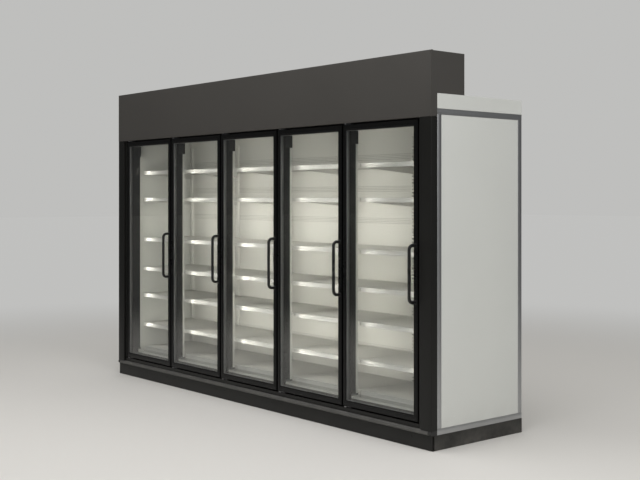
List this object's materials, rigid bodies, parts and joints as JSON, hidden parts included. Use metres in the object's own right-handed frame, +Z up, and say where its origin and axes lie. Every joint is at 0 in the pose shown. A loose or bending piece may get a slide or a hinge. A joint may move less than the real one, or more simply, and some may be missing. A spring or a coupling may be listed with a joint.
{
  "type": "built-in glass-door refrigerated display case",
  "caption": "Insulated supermarket display case with a row of hinged glass doors, lamps on the mullions, tiered shelves, a header fascia and a kick panel.",
  "frame": {"origin": "on the floor, at the middle of the whole case's box, door pulls included", "axes": "+Z up, the doors face -Y, +X runs along the door row to the right as seen from the front"},
  "size_m": [4.072, 0.976, 2.62],
  "materials": {
    "base_steel": "satin black",
    "black_coat": "satin black powder coat",
    "bumper": "grey moulded rail",
    "insulated_panel": "pale coated sheet over foam",
    "mullion_coat": "dark anodised",
    "lamp_metal": "satin anodised",
    "bracket_steel": "brushed",
    "lamp_lens": "frosted, lit from inside",
    "charcoal_coat": "matt charcoal powder coat",
    "white_coat": "pale powder coat",
    "price_rail_plastic": "white extruded rail",
    "leaf_coat": "black anodised",
    "clear_glass": "clear double glazing",
    "pull_coat": "satin black tube",
    "gasket_rubber": "matt"
  },
  "bodies": {
    "cabinet": {"base_rails": "base_steel", "kick_panel": "black_coat", "bumper_rail": "bumper", "floor_slab": "insulated_panel", "end_walls": "insulated_panel", "back_wall": "insulated_panel", "roof_panel": "insulated_panel", "frame_sill": "black_coat", "frame_head": "black_coat", "frame_jambs": "black_coat", "frame_mullions": "mullion_coat", "hinge_brackets": "bracket_steel", "lamp_housings": "lamp_metal", "lamp_lenses": "lamp_lens", "side_surrounds": "black_coat", "header_fascia": "charcoal_coat", "header_returns": "charcoal_coat", "air_panel": "white_coat", "shelf_uprights": "white_coat", "deck_trays": "white_coat", "price_rails": "price_rail_plastic", "shelf_tier_1": "white_coat", "shelf_tier_2": "white_coat", "shelf_tier_3": "white_coat", "shelf_tier_4": "white_coat", "shelf_tier_5": "white_coat", "shelf_tier_6": "white_coat"},
    "door_1": {"door_1_leaf": "leaf_coat", "door_1_glass": "clear_glass", "door_1_pull": "pull_coat", "door_1_gasket": "gasket_rubber"},
    "door_2": {"door_2_leaf": "leaf_coat", "door_2_glass": "clear_glass", "door_2_pull": "pull_coat", "door_2_gasket": "gasket_rubber"},
    "door_3": {"door_3_leaf": "leaf_coat", "door_3_glass": "clear_glass", "door_3_pull": "pull_coat", "door_3_gasket": "gasket_rubber"},
    "door_4": {"door_4_leaf": "leaf_coat", "door_4_glass": "clear_glass", "door_4_pull": "pull_coat", "door_4_gasket": "gasket_rubber"},
    "door_5": {"door_5_leaf": "leaf_coat", "door_5_glass": "clear_glass", "door_5_pull": "pull_coat", "door_5_gasket": "gasket_rubber"}
  },
  "joints": [
    {"name": "door_1_hinge", "type": "hinge", "parent": "cabinet", "child": "door_1", "pos_m": [-1.882, -0.398, 1.172], "axis": [0, 0, -1], "range_deg": [0, 90], "stiffness_Nm_per_rad": 3, "springref_deg": -20.05},
    {"name": "door_2_hinge", "type": "hinge", "parent": "cabinet", "child": "door_2", "pos_m": [-1.12, -0.398, 1.172], "axis": [0, 0, -1], "range_deg": [0, 90], "stiffness_Nm_per_rad": 3, "springref_deg": -20.05},
    {"name": "door_3_hinge", "type": "hinge", "parent": "cabinet", "child": "door_3", "pos_m": [-0.358, -0.398, 1.172], "axis": [0, 0, -1], "range_deg": [0, 90], "stiffness_Nm_per_rad": 3, "springref_deg": -20.05},
    {"name": "door_4_hinge", "type": "hinge", "parent": "cabinet", "child": "door_4", "pos_m": [0.404, -0.398, 1.172], "axis": [0, 0, -1], "range_deg": [0, 90], "stiffness_Nm_per_rad": 3, "springref_deg": -20.05},
    {"name": "door_5_hinge", "type": "hinge", "parent": "cabinet", "child": "door_5", "pos_m": [1.166, -0.398, 1.172], "axis": [0, 0, -1], "range_deg": [0, 90], "stiffness_Nm_per_rad": 3, "springref_deg": -20.05}
  ]
}
